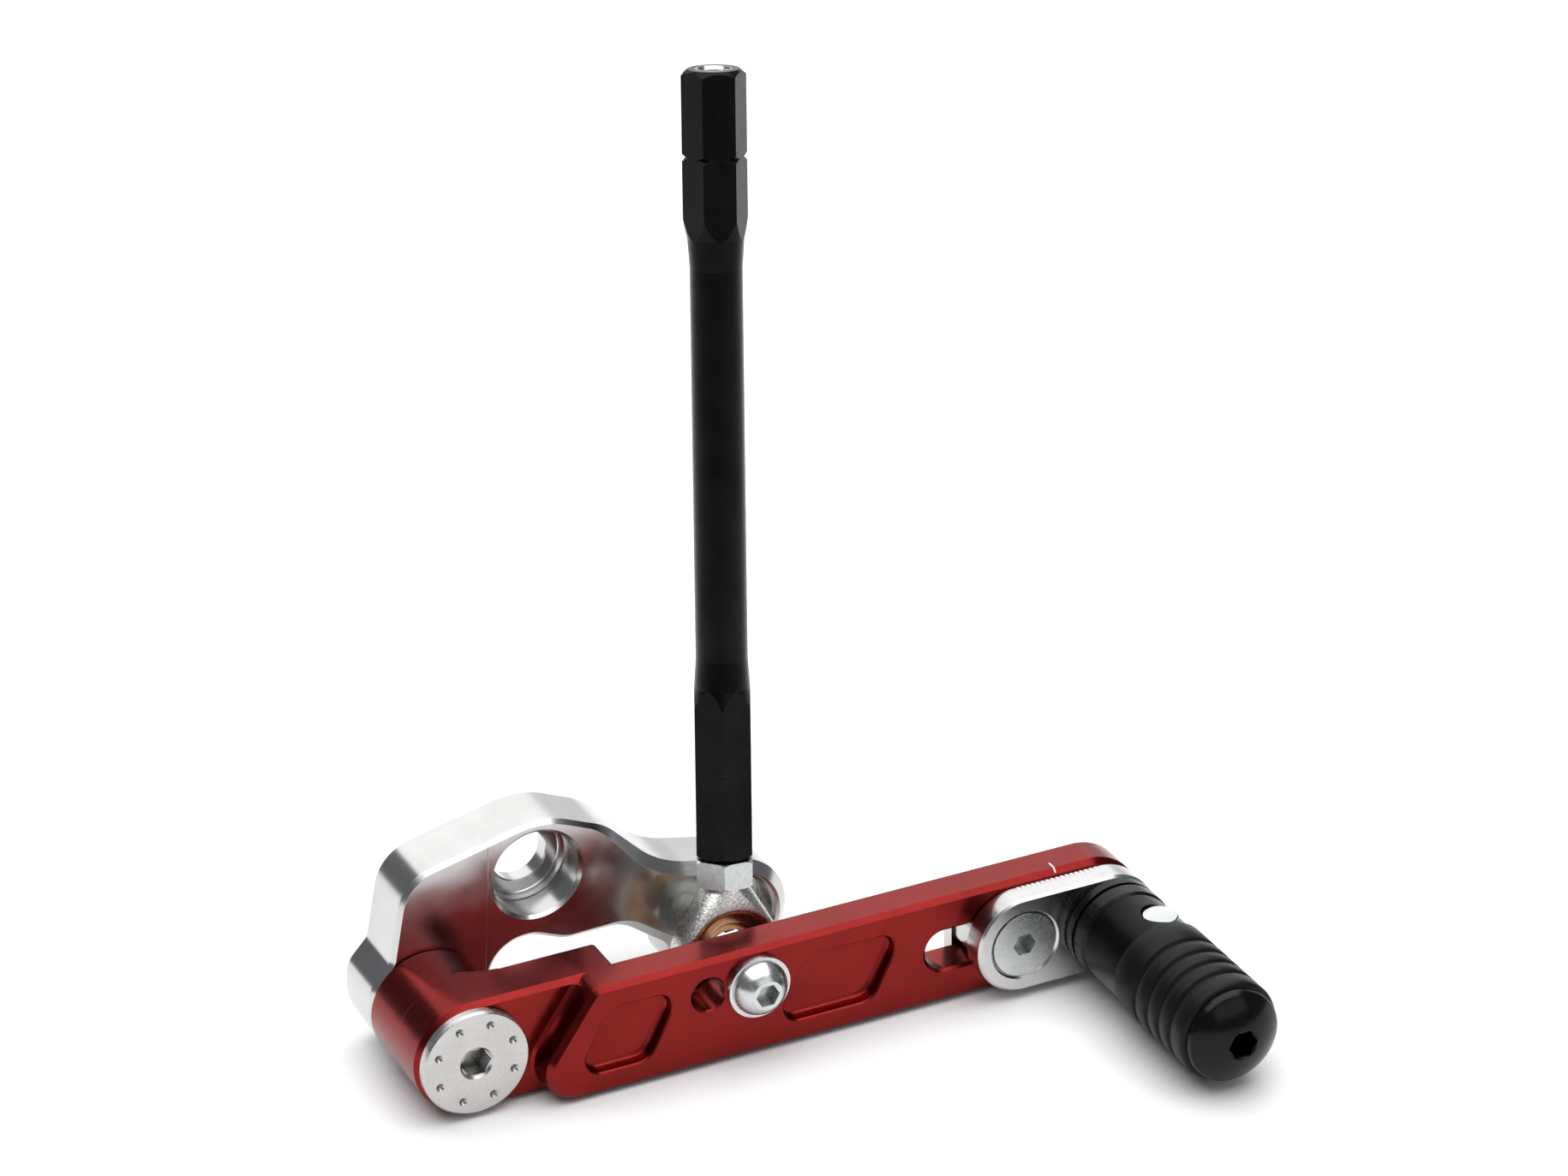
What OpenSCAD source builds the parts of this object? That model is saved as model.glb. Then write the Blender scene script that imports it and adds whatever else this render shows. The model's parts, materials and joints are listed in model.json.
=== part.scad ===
// Motorcycle gear shift lever: a machined bracket plate, a lever on two ball bearings,
// a rod end with its link rod, and a toe peg that slides along the lever and folds.
// X runs along the lever towards the toe peg, Y runs inboard to the frame, Z is up.
// The origin is the axis of the upper M10 mounting hole, on the rear face of the plate.

/* [Bracket plate] */
// Thickness of the bracket plate
plate_t = 12; // [10:0.5:14]
// Diameter of the counterbore for an M10 socket head
counterbore_d = 16.8; // [16.4:0.1:17]
// Diameter of the through hole for an M10 bolt
bolt_hole_d = 10.5; // [10.2:0.1:11]

/* [Lever] */
// Height of the lever blade and diameter of the hub
lever_h = 21.6; // [21:0.1:22]
// Thickness of the blade
blade_t = 7.5; // [7:0.1:8]
// Thickness of the arm between the hub and the blade
arm_t = 9.6; // [9:0.1:10]
// Depth of the milled pockets
pocket_depth = 2.5; // [1:0.1:3]
// Height of the slot for the toe peg carriage
slot_h = 8; // [7.8:0.1:8.2]

/* [Link rod] */
// Lean of the rod towards the bracket, in degrees
rod_lean = 11; // [0:0.5:12]
// Swing of the rod towards the toe peg, in degrees
rod_swing = 5.75; // [0:0.25:10]
// Length of the rod
rod_len = 142.5; // [120:0.5:180]
// Width across the flats of the rod and of the M6 nuts
hex_af = 10; // [10:0.1:10.2]
// Diameter of the round middle of the rod
rod_d = 9.3; // [8.6:0.1:9.6]

/* [Toe peg] */
// Centre of the carriage screw, along the lever from the pivot
carriage_x = 104.5; // [96:0.5:110]
// Length of the toe peg from the link plate to the rim of the grip
peg_len = 43.2; // [43:0.1:50]
// Diameter of the grip
grip_d = 19.5; // [19:0.1:19.6]

/* [Hidden] */

$fn = 64;
eps = 0.1;

// Pieces on one body that screw together are this much apart, on the radius
thread_gap = 0.05;
// Faces that slide past each other
slide_gap = 0.15;

// Pivot of the lever, and the other places along X and Z
pivot = [-22.6, -20.2];
lever_z = pivot[1];
second_bolt = [38.2, -19.3];
rod_screw = [30.3, -16.85];
spare_hole = [20.8, -16.4];
blade_end_x = 97.8;
slot_from_x = 68.2;
slot_to_x = 96;
clamp_x = pivot[0] + carriage_x;
peg_x = clamp_x + 17.6;

// Planes along Y, from the frame outwards
plate_front = -plate_t;
hub_rear = plate_front - 0.4;
arm_rear = -23.9;
arm_front = arm_rear - arm_t;
blade_rear = -31.6;
blade_front = blade_rear - blade_t;
link_rear = blade_front - slide_gap;
link_t = 4.85;
link_front = link_rear - link_t;

// M6 hardware
m6 = 6;
m6_shank_r = m6 / 2 - thread_gap;
m6_hole_r = m6 / 2;
m6_clear_r = 3.2;
hex_r = hex_af / 2 / cos(30);

// Pivot bolt and the two 688 ball bearings, 8 x 16 x 5
bolt_head_r = 10.2;
bolt_head_t = 1.75;
bolt_head_rear = arm_front - 0.25;
shoulder_r = 3.98;
bearing_bore_r = 4;
bearing_r = 8;
bearing_w = 5;
inner_ring_r = 5.3;
outer_ring_r = 6.75;
ball_pitch_r = 6.0;
ball_r = 1.04;
groove_r = 1.1;
balls_per_bearing = 12;
front_bearing_y = arm_front + 0.5;
rear_bearing_y = hub_rear - 0.5 - bearing_w;

// Rod end, M6 size: 9 mm ball, 6.75 mm housing, 13 mm from ball to shoulder
ball_spacer_t = 1;
end_ball_r = 6.35;
end_ball_w = 8.9;
end_ball_y = blade_rear + ball_spacer_t + 4.5;
head_r = 10;
head_half_w = 3.375;
head_rim_half_w = 2.1;
head_face_r = 8.9;
liner_r = 8.5;
shoulder_at = 12.9;
jam_nut_at = shoulder_at + eps;
jam_nut_h = 4.9;
rod_at = jam_nut_at + jam_nut_h + eps;
rod_end_len = 36;
bottom_hex_len = 28;
top_hex_len = 26.1;
taper_len = 9;
rod_bore_len = 24;
mark_from_end = 15.4;
top_hex_turn = -20;
view_hex_turn = 4.4;

// Toe peg: places along Y, and the hinge pin, which is off the axis of the peg
collar_r = 9.3;
collar_len = 6.6;
peg_gap = 0.5;
tip_r = 9.1;
spigot_r = 7;
collar_front = link_front - collar_len;
tip_rear = collar_front - peg_gap;
pin_x = peg_x + 2.1;
pin_y = collar_front - 7.9;
pin_r = 2.5;
pin_head_r = 3.4;
tongue_half_t = 3;
tongue_back = 6.5;
tongue_side = 3.8;
tongue_end_r = 5.5;
hinge_gap = 0.3;
grip_rear = pin_y - 3.8 - hinge_gap;
grip_front = link_front - peg_len;
cap_r = 8.85;
cap_rim_t = 1.8;
cap_dome_h = 3.6;
plunger_r = 1.9;
plunger_len = 5;

// ---- shared shapes ----

// Points of an outline whose corners are [x, z, radius], with each corner rounded
function unit(v) = v / norm(v);
function corner_arc(a, p, b, r, steps = 8) =
    let (u = unit(a - p), w = unit(b - p), half = acos(u * w) / 2,
         centre = p + unit(u + w) * r / sin(half),
         side = sign(u[0] * w[1] - u[1] * w[0]),
         mid = atan2(-(u + w)[1], -(u + w)[0]))
    [for (i = [0:steps])
        let (t = mid + side * (90 - half) * (1 - 2 * i / steps))
        centre + r * [cos(t), sin(t)]];
function xz(c) = [c[0], c[1]];
function rounded(c) =
    let (n = len(c))
    [for (i = [0:n - 1])
        each corner_arc(xz(c[(i + n - 1) % n]), xz(c[i]), xz(c[(i + 1) % n]), c[i][2])];

// A flat outline in the XZ plane, made solid between two planes along Y
module slab(y0, y1) {
    translate([0, y1, 0]) rotate([90, 0, 0]) linear_extrude(y1 - y0) children();
}

// A cylinder along Y between two planes
module rod_y(at, y0, y1, r, fn = $fn) {
    translate([at[0], y1, at[1]]) rotate([90, 0, 0]) cylinder(h = y1 - y0, r = r, $fn = fn);
}

// A cone along Y, with its radius at the front plane y0 and at the rear plane y1
module cone_y(at, y0, y1, r0, r1) {
    translate([at[0], y1, at[1]]) rotate([90, 0, 0]) cylinder(h = y1 - y0, r1 = r1, r2 = r0);
}

// A hexagon socket along Y, given by its width across the flats
module socket_y(at, y0, y1, af) {
    rod_y(at, y0, y1, af / 2 / cos(30), 6);
}

// A solid of revolution about a line along Y: points are [radius, y]
module turned_y(at, points) {
    translate([at[0], 0, at[1]]) rotate([-90, 0, 0]) rotate_extrude() polygon(points);
}

// A slot outline in the XZ plane
module slot_shape(x0, x1, z, r) {
    translate([x0, z]) circle(r);
    translate([x1, z]) circle(r);
    translate([x0, z - r]) square([x1 - x0, 2 * r]);
}

// Places the rod end and the rod: local Z is the axis of the rod, from the ball's centre
module on_rod() {
    translate([rod_screw[0], end_ball_y, rod_screw[1]])
        rotate([0, rod_swing, 0]) rotate([-rod_lean, 0, 0]) children();
}

// ---- bracket ----

plate_corners = [
    [-33, -30.6, 10.3], [-33, -15.6, 5.5], [-28.7, -11, 3], [-25.5, 5, 9], [1.8, 11.3, 16],
    [13.9, 6.1, 14], [24.6, -5, 18], [50, -10.6, 11], [50, -31.3, 11.8],
    [26.2, -31.3, 6.5], [26.2, -22.5, 3], [16.5, -15.2, 9], [5, -14.9, 8],
    [-1, -12.4, 5], [-9.9, -12.4, 7.3], [-9.9, -30.6, 12]
];

// Counterbored hole for an M10 socket head bolt, open to the front
module mounting_hole(at) {
    floor_y = plate_front + 8.4;
    rod_y(at, plate_front - eps, floor_y, counterbore_d / 2);
    rod_y(at, floor_y - eps, eps, bolt_hole_d / 2);
    cone_y(at, plate_front - eps, plate_front + 0.6, counterbore_d / 2 + 0.7, counterbore_d / 2);
}

module bracket_plate() {
    color("silver")
    difference() {
        slab(plate_front, 0) polygon(rounded(plate_corners));
        mounting_hole([0, 0]);
        mounting_hole(second_bolt);
        rod_y(pivot, plate_front - eps, -1, m6_hole_r);
    }
}

// Shoulder bolt with a wide head, a hexagon socket and eight dimples
module pivot_bolt() {
    head_front = bolt_head_rear - bolt_head_t;
    color("gainsboro")
    difference() {
        union() {
            rod_y(pivot, head_front + 0.4, bolt_head_rear, bolt_head_r);
            cone_y(pivot, head_front, head_front + 0.4, bolt_head_r - 0.4, bolt_head_r);
            rod_y(pivot, bolt_head_rear - eps, plate_front, shoulder_r);
            rod_y(pivot, plate_front - eps, -1.5, m6_shank_r);
        }
        socket_y(pivot, head_front - eps, head_front + 4, 5);
        cone_y(pivot, head_front - eps, head_front + 0.5, 3.3, 2.7);
        for (i = [0:7])
            let (t = 22.5 + 45 * i, at = pivot + 7.65 * [cos(t), sin(t)])
                cone_y(at, head_front - eps, head_front + 0.7, 0.9, 0.1);
    }
}

module ring_y(y0, y1, r_out, r_in) {
    difference() {
        rod_y(pivot, y0, y1, r_out);
        rod_y(pivot, y0 - eps, y1 + eps, r_in);
    }
}

module front_shim() {
    color("gray") ring_y(bolt_head_rear, front_bearing_y, 5, bearing_bore_r);
}

module rear_shim() {
    color("gray") ring_y(rear_bearing_y + bearing_w, plate_front, 5, bearing_bore_r);
}

module bearing_spacer() {
    color("darkgray") ring_y(front_bearing_y + bearing_w, rear_bearing_y, inner_ring_r, bearing_bore_r);
}

// ---- ball bearings ----

// The groove that the balls run in
module ball_groove(y0) {
    translate([pivot[0], y0 + bearing_w / 2, pivot[1]]) rotate([90, 0, 0])
        rotate_extrude() translate([ball_pitch_r, 0]) circle(groove_r, $fn = 32);
}

module inner_ring(y0) {
    difference() {
        ring_y(y0, y0 + bearing_w, inner_ring_r, bearing_bore_r);
        ball_groove(y0);
    }
}

module outer_ring(y0) {
    difference() {
        ring_y(y0, y0 + bearing_w, bearing_r - 0.02, outer_ring_r);
        ball_groove(y0);
    }
}

module at_each_ball(y0) {
    for (i = [0:balls_per_bearing - 1])
        translate([pivot[0], y0 + bearing_w / 2, pivot[1]])
            rotate([0, 360 / balls_per_bearing * i, 0]) children();
}

module bearing_balls(y0) {
    at_each_ball(y0) translate([ball_pitch_r, 0, 0]) sphere(ball_r, $fn = 24);
}

// A thin ring with a radial hole for each ball
module cage(y0) {
    middle = y0 + bearing_w / 2;
    difference() {
        ring_y(middle - 1.5, middle + 1.5, ball_pitch_r + 0.25, ball_pitch_r - 0.25);
        at_each_ball(y0) translate([ball_pitch_r - 1, 0, 0]) rotate([0, 90, 0])
            cylinder(h = 2, r = ball_r + 0.08, $fn = 24);
    }
}

module front_inner_ring() { color("lightgray") inner_ring(front_bearing_y); }
module rear_inner_ring() { color("lightgray") inner_ring(rear_bearing_y); }
module front_outer_ring() { color("lightgray") outer_ring(front_bearing_y); }
module rear_outer_ring() { color("lightgray") outer_ring(rear_bearing_y); }
module front_balls() { color("white") bearing_balls(front_bearing_y); }
module rear_balls() { color("white") bearing_balls(rear_bearing_y); }
module front_cage() { color("darkkhaki") cage(front_bearing_y); }
module rear_cage() { color("darkkhaki") cage(rear_bearing_y); }

// Two shields for each bearing, held in its outer ring
module bearing_shields() {
    color("gray")
    for (y0 = [front_bearing_y, rear_bearing_y], side = [0.2, bearing_w - 0.5])
        ring_y(y0 + side, y0 + side + 0.3, outer_ring_r, inner_ring_r + 0.2);
}

// ---- lever ----

half_h = lever_h / 2;
blade_corners = [
    [-16.2, lever_z - half_h, 6], [-1.1, lever_z + half_h, 3],
    [blade_end_x + half_h, lever_z + half_h, half_h - 0.01],
    [blade_end_x + half_h, lever_z - half_h, half_h - 0.01]
];
pocket_top = -13.85;
pocket_bottom = -26.5;
pocket_shear = 6.5;

// A pocket is a sheared rectangle with round corners; x is its lower left corner
module pocket(x, w) {
    slab(blade_front - eps, blade_front + pocket_depth)
        polygon(rounded([
            [x, pocket_bottom, 3], [x + pocket_shear, pocket_top, 5],
            [x + w + pocket_shear, pocket_top, 3], [x + w, pocket_bottom, 4]
        ]));
}

// Screw hole through the blade, with its front edge broken
module blade_hole(at) {
    rod_y(at, blade_front - eps, blade_rear + eps, m6_clear_r);
    cone_y(at, blade_front - eps, blade_front + 0.3, m6_clear_r + 0.35, m6_clear_r);
}

module shift_lever() {
    color("firebrick")
    difference() {
        union() {
            rod_y(pivot, arm_front, hub_rear, half_h);
            translate([pivot[0], arm_front, lever_z - half_h]) cube([5.8 - pivot[0], arm_t, lever_h]);
            slab(blade_front, blade_rear) polygon(rounded(blade_corners));
        }
        rod_y(pivot, arm_front - eps, front_bearing_y + bearing_w, bearing_r);
        rod_y(pivot, rear_bearing_y, hub_rear + eps, bearing_r);
        rod_y(pivot, arm_front, hub_rear, outer_ring_r);
        blade_hole(rod_screw);
        blade_hole(spare_hole);
        pocket(-5.2, 14.2);
        pocket(33.7, 19.6);
        slab(blade_front - eps, blade_rear + eps)
            slot_shape(slot_from_x, slot_to_x, lever_z, slot_h / 2);
    }
}

// ---- rod end joint ----

washer_t = 1.2;
button_r = 5.25;
button_h = 3.3;
button_edge = 0.4;
button_flat_r = 2.9;

// Points [radius, y] of a round head: an arc from its rim, at rim_y, to its top, at top_y
function dome_arc(rim_r, rim_y, top_r, top_y, steps = 12) =
    let (rise = rim_y - top_y,
         back = (rim_r * rim_r - top_r * top_r - rise * rise) / (2 * rise),
         r = norm([rim_r, back]), from = atan2(back, rim_r), to = atan2(back + rise, top_r))
    [for (i = [0:steps]) let (t = from + (to - from) * i / steps)
        [r * cos(t), rim_y + back - r * sin(t)]];

module button_screw() {
    seat = blade_front - washer_t;
    color("lightgray")
    difference() {
        union() {
            turned_y(rod_screw, concat(
                [[0, seat], [button_r, seat]],
                dome_arc(button_r, seat - button_edge, button_flat_r, seat - button_h),
                [[0, seat - button_h]]));
            rod_y(rod_screw, seat - eps, ball_nut_rear + 0.4, m6_shank_r);
        }
        socket_y(rod_screw, seat - button_h - eps, seat - 1.3, 4);
    }
}

module screw_washer() {
    color("lightgray")
    difference() {
        rod_y(rod_screw, blade_front - washer_t, blade_front, 6);
        rod_y(rod_screw, blade_front - washer_t - eps, blade_front + eps, m6_clear_r);
    }
}

module ball_spacer() {
    color("lightgray")
    difference() {
        rod_y(rod_screw, blade_rear, blade_rear + ball_spacer_t, 4.5);
        rod_y(rod_screw, blade_rear - eps, blade_rear + ball_spacer_t + eps, m6_clear_r);
    }
}

ball_nut_front = end_ball_y + 4.5;
ball_nut_rear = ball_nut_front + 5.6;

// Hexagon with its corners turned off at both ends
module hex_nut_shape(h, af, chamfer = 0.6) {
    r = af / 2 / cos(30);
    intersection() {
        cylinder(h = h, r = r, $fn = 6);
        rotate_extrude()
            polygon([[0, 0], [r - chamfer, 0], [r + 0.2, chamfer * 0.8],
                     [r + 0.2, h - chamfer * 0.8], [r - chamfer, h], [0, h]]);
    }
}

module ball_nut() {
    color("lightgray")
    translate([rod_screw[0], ball_nut_rear, rod_screw[1]]) rotate([90, 0, 0])
    difference() {
        hex_nut_shape(ball_nut_rear - ball_nut_front, hex_af);
        translate([0, 0, -eps]) cylinder(h = 10, r = m6_hole_r);
    }
}

// Ball with two flats and a bore, turned about the axis of the screw
module rod_end_ball() {
    half_w = end_ball_w / 2;
    flat_at = asin(half_w / end_ball_r);
    color("silver")
    turned_y(rod_screw, concat(
        [[m6_hole_r + 0.02, end_ball_y - half_w]],
        [for (i = [-12:12]) let (t = flat_at * i / 12)
            [end_ball_r * cos(t), end_ball_y + end_ball_r * sin(t)]],
        [[m6_hole_r + 0.02, end_ball_y + half_w]]));
}

// Half outline of the eye of the rod end, in radius and width
module eye() {
    rotate([90, 0, 0]) rotate_extrude()
        polygon([[0, -head_half_w], [head_face_r, -head_half_w], [head_r, -head_rim_half_w],
                 [head_r, head_rim_half_w], [head_face_r, head_half_w], [0, head_half_w]]);
}

module rod_end_housing() {
    color("darkgray")
    on_rod() {
        difference() {
            hull() {
                eye($fn = 48);
                translate([0, 0, shoulder_at - 1.5]) cylinder(h = 1.5, r = 4.3, $fn = 32);
            }
            rotate([90, 0, 0]) cylinder(h = 20, r = liner_r, center = true);
        }
        translate([0, 0, shoulder_at - eps])
            cylinder(h = rod_end_len - shoulder_at, r = m6_shank_r);
    }
}

// Bronze race with a spherical bore and a cone at each side
module race_liner() {
    half_w = head_half_w - 0.1;
    color("peru")
    on_rod() rotate([90, 0, 0])
    difference() {
        cylinder(h = 2 * half_w, r = liner_r - 0.02, center = true);
        sphere(end_ball_r + 0.05);
        for (side = [0, 1]) mirror([0, 0, side])
            translate([0, 0, 2.3]) cylinder(h = half_w - 2.3 + eps, r1 = 5.9, r2 = 7.9);
    }
}

module jam_nut() {
    color("lightgray")
    on_rod() translate([0, 0, jam_nut_at]) rotate([0, 0, view_hex_turn])
    difference() {
        hex_nut_shape(jam_nut_h, hex_af);
        translate([0, 0, -eps]) cylinder(h = 10, r = m6_hole_r);
    }
}

// Outline of the rod in [radius, height]: hexagons at both ends, round in the middle
function rod_profile(l) =
    let (out = hex_r + 0.02, r = rod_d / 2, low = bottom_hex_len, high = l - top_hex_len,
         flats_end = hex_af / 2 + 0.02, mark = l - mark_from_end, notch = 0.72)
    [[0, 0], [4.6, 0], [out, 1.1], [out, low], [flats_end, low + 3.6], [r, low + taper_len],
     [r, high - taper_len], [flats_end, high - 3.6], [out, high], [out, mark - notch],
     [out - notch, mark], [out, mark + notch], [out, l - 1.1], [4.6, l], [0, l]];

module link_rod() {
    color([0.1, 0.1, 0.1])
    on_rod() translate([0, 0, rod_at])
    difference() {
        intersection() {
            rotate_extrude() polygon(rod_profile(rod_len));
            union() {
                rotate([0, 0, view_hex_turn]) cylinder(h = rod_len / 2, r = hex_r, $fn = 6);
                translate([0, 0, rod_len / 2]) rotate([0, 0, view_hex_turn + top_hex_turn])
                    cylinder(h = rod_len / 2, r = hex_r, $fn = 6);
            }
        }
        translate([0, 0, -eps]) cylinder(h = rod_bore_len, r = m6_hole_r);
        translate([0, 0, rod_len - rod_bore_len]) cylinder(h = rod_bore_len + eps, r = m6_hole_r);
        // Scribed line that shows how far the thread has to reach
        translate([0, 0, mark_from_end + 0.6]) difference() {
            cylinder(h = 0.2, r = 7);
            translate([0, 0, -eps]) cylinder(h = 1, r = 5.5);
        }
    }
}

// ---- toe peg carriage ----

link_r = 9.5;

module link_plate() {
    color("silver")
    difference() {
        slab(link_front, link_rear) slot_shape(clamp_x, peg_x, lever_z, link_r);
        rod_y([clamp_x, lever_z], link_front - eps, link_rear + eps, m6_clear_r);
        cone_y([clamp_x, lever_z], link_front, link_front + 3.6, 6.8, m6_clear_r);
        rod_y([peg_x, lever_z], link_front - eps, link_rear + eps, m6_clear_r);
        cone_y([peg_x, lever_z], link_rear - 3, link_rear, m6_clear_r, 6.2);
    }
}

module clamp_screw() {
    at = [clamp_x, lever_z];
    color("lightgray")
    difference() {
        union() {
            rod_y(at, link_front + 0.15, link_front + 0.45, 6.3);
            cone_y(at, link_front + 0.45, link_front + 3.8, 6.3, m6_shank_r);
            rod_y(at, link_front + 3.7, slot_nut_rear + 0.3, m6_shank_r);
        }
        socket_y(at, link_front - eps, link_front + 2.6, 4);
    }
}

slot_nut_front = blade_rear + slide_gap;
slot_nut_rear = slot_nut_front + 3;
key_half_len = 8;

// Nut behind the blade, with a key that slides in the slot
module slot_nut() {
    key_h = slot_h - 2 * slide_gap;
    color("silver")
    difference() {
        union() {
            translate([clamp_x - 8.5, slot_nut_front, lever_z - 6.5]) cube([17, 3, 13]);
            slab(blade_front + 0.6, slot_nut_front + eps) polygon(rounded([
                [clamp_x - key_half_len, lever_z - key_h / 2, 2],
                [clamp_x - key_half_len, lever_z + key_h / 2, 2],
                [clamp_x + key_half_len, lever_z + key_h / 2, 2],
                [clamp_x + key_half_len, lever_z - key_h / 2, 2]
            ]));
        }
        rod_y([clamp_x, lever_z], blade_front - eps, slot_nut_rear + eps, m6_hole_r);
    }
}

// Collar on the link plate, with the tongue of the hinge
module peg_base() {
    at = [peg_x, lever_z];
    color([0.12, 0.12, 0.12])
    difference() {
        union() {
            cone_y(at, link_front - 0.6, link_front, collar_r, collar_r - 0.6);
            rod_y(at, link_front - 2.4, link_front - 0.6, collar_r);
            rod_y(at, link_front - 3.4, link_front - 2.3, collar_r - 0.5);
            rod_y(at, collar_front + 0.5, link_front - 3.3, collar_r);
            cone_y(at, collar_front, collar_front + 0.5, collar_r - 0.5, collar_r);
            intersection() {
                translate([pin_x - tongue_back, pin_y, lever_z - tongue_half_t])
                    cube([tongue_back + tongue_side, collar_front + 1 - pin_y, 2 * tongue_half_t]);
                rod_y(at, pin_y - 10, collar_front + 1, 8.5);
            }
            intersection() {
                translate([pin_x, pin_y, lever_z])
                    cylinder(h = 2 * tongue_half_t, r = tongue_end_r, center = true);
                translate([pin_x - 6, pin_y - 6, lever_z - 5]) cube([6 + tongue_side, 12, 10]);
            }
        }
        translate([pin_x, pin_y, lever_z]) cylinder(h = 12, r = pin_r + 0.04, center = true);
        rod_y(at, link_front - 8.2, link_front + eps, m6_hole_r);
    }
}

module peg_base_screw() {
    at = [peg_x, lever_z];
    color("lightgray")
    difference() {
        union() {
            cone_y(at, link_rear - 3, link_rear - 0.2, m6_shank_r, 5.8);
            rod_y(at, link_front - 7.8, link_rear - 2.9, m6_shank_r);
        }
        socket_y(at, link_rear - 2.3, link_rear + eps, 4);
    }
}

// ---- folding tip of the toe peg ----

// Space that the tongue sweeps as the tip folds
module tongue_space() {
    half_t = tongue_half_t + slide_gap;
    translate([pin_x - tongue_back - hinge_gap, grip_rear, lever_z - half_t])
        cube([30, 30, 2 * half_t]);
    translate([pin_x, pin_y, lever_z])
        cylinder(h = 2 * half_t, r = tongue_end_r + hinge_gap, center = true);
}

// Keeps the corner next to the collar inside a circle about the hinge pin
module fork_corner() {
    corner_r = tip_rear - pin_y;
    difference() {
        translate([pin_x, pin_y, lever_z - 12]) cube([12, 12, 24]);
        translate([pin_x, pin_y, lever_z]) cylinder(h = 30, r = corner_r, center = true);
    }
}

module peg_tip() {
    at = [peg_x, lever_z];
    color([0.08, 0.08, 0.08])
    difference() {
        union() {
            rod_y(at, grip_rear, tip_rear, tip_r);
            rod_y(at, grip_front + 1, grip_rear + eps, spigot_r);
        }
        tongue_space();
        fork_corner();
        translate([pin_x, pin_y, lever_z - 12]) cylinder(h = 24, r = pin_r);
        translate([pin_x, pin_y, lever_z + 5.9]) cylinder(h = 12, r = pin_head_r + 0.1);
        rod_y([pin_x, lever_z], cap_stud_end - 1, pin_y, plunger_r + 0.1);
        rod_y(at, grip_front, cap_stud_end, 4);
    }
}

module fold_pin() {
    translate([pin_x, pin_y, lever_z]) color("gainsboro")
    union() {
        translate([0, 0, -8]) cylinder(h = 14, r = pin_r - 0.01);
        translate([0, 0, 5.95]) cylinder(h = 2.3, r = pin_head_r);
        translate([0, 0, 8.25]) cylinder(h = 0.3, r1 = pin_head_r, r2 = pin_head_r - 0.3);
    }
}

groove_from_front = [4.7, 8.8, 12.8, 17.2];

module grip_sleeve() {
    at = [peg_x, lever_z];
    r = grip_d / 2;
    color([0.15, 0.15, 0.15])
    difference() {
        union() {
            rod_y(at, grip_front + 0.6, grip_rear - 0.5, r);
            cone_y(at, grip_front, grip_front + 0.6, r - 0.6, r);
            cone_y(at, grip_rear - 0.5, grip_rear, r, r - 0.5);
        }
        rod_y(at, grip_front - eps, grip_rear + eps, spigot_r + 0.02);
        for (g = groove_from_front) difference() {
            rod_y(at, grip_front + g - 0.6, grip_front + g + 0.6, r + 1);
            rod_y(at, grip_front + g - 1, grip_front + g + 1, r - 0.8);
        }
    }
}

cap_stud_end = grip_front + 8;

// Domed screw that holds the sleeve on the tip
module end_cap() {
    at = [peg_x, lever_z];
    rim_front = grip_front - cap_rim_t;
    dome_front = rim_front - cap_dome_h;
    color([0.06, 0.06, 0.06])
    difference() {
        turned_y(at, concat(
            [[0, cap_stud_end - 0.1], [4 - thread_gap, cap_stud_end - 0.1],
             [4 - thread_gap, grip_front], [cap_r, grip_front]],
            dome_arc(cap_r, rim_front, 1.5, dome_front, 20),
            [[0, dome_front]]));
        socket_y(at, dome_front - eps, rim_front + 1.5, 5);
    }
}

// Sprung plunger that presses on the end of the tongue
module fold_plunger() {
    front = pin_y - tongue_end_r - 0.05;
    color("gainsboro")
    union() {
        rod_y([pin_x, lever_z], front - plunger_len, front - 0.8, plunger_r);
        cone_y([pin_x, lever_z], front - 0.8, front, plunger_r, plunger_r - 0.8);
    }
}

// A coil of round wire along Y, swept as rings of points along a helix
spring_turns = 7;
spring_r = 1.45;
wire_r = 0.25;
ring_sides = 8;
rings_per_turn = 12;

function coil_point(t, length, side) =
    let (a = 360 * t, b = 360 * side / ring_sides, r = spring_r + wire_r * cos(b))
    [r * cos(a), -length * t / spring_turns + wire_r * sin(b), r * sin(a)];

module fold_spring() {
    from_y = pin_y - tongue_end_r - 0.1 - plunger_len - wire_r;
    length = from_y - cap_stud_end - wire_r;
    rings = spring_turns * rings_per_turn;
    points = [for (i = [0:rings], s = [0:ring_sides - 1])
        coil_point(i / rings_per_turn, length, s)];
    sides = [for (i = [0:rings - 1], s = [0:ring_sides - 1])
        let (a = i * ring_sides + s, b = i * ring_sides + (s + 1) % ring_sides)
        [a, a + ring_sides, b + ring_sides, b]];
    first = [for (s = [0:ring_sides - 1]) s];
    last = [for (s = [ring_sides - 1:-1:0]) rings * ring_sides + s];
    color("gray") translate([pin_x, from_y, lever_z])
        polyhedron(points, concat(sides, [first, last]));
}

bracket_plate();
pivot_bolt();
front_shim();
rear_shim();
bearing_spacer();
front_inner_ring();
rear_inner_ring();
front_balls();
rear_balls();
front_cage();
rear_cage();
shift_lever();
front_outer_ring();
rear_outer_ring();
bearing_shields();
button_screw();
screw_washer();
ball_spacer();
ball_nut();
rod_end_ball();
rod_end_housing();
race_liner();
jam_nut();
link_rod();
link_plate();
clamp_screw();
slot_nut();
peg_base();
peg_base_screw();
peg_tip();
fold_pin();
grip_sleeve();
end_cap();
fold_plunger();
fold_spring();
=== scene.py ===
import json
from math import acos, asin, atan2, cos, pi, radians, sin, tau

import bmesh
import bpy
from mathutils import Matrix, Vector
from mathutils.geometry import tessellate_polygon


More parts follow.
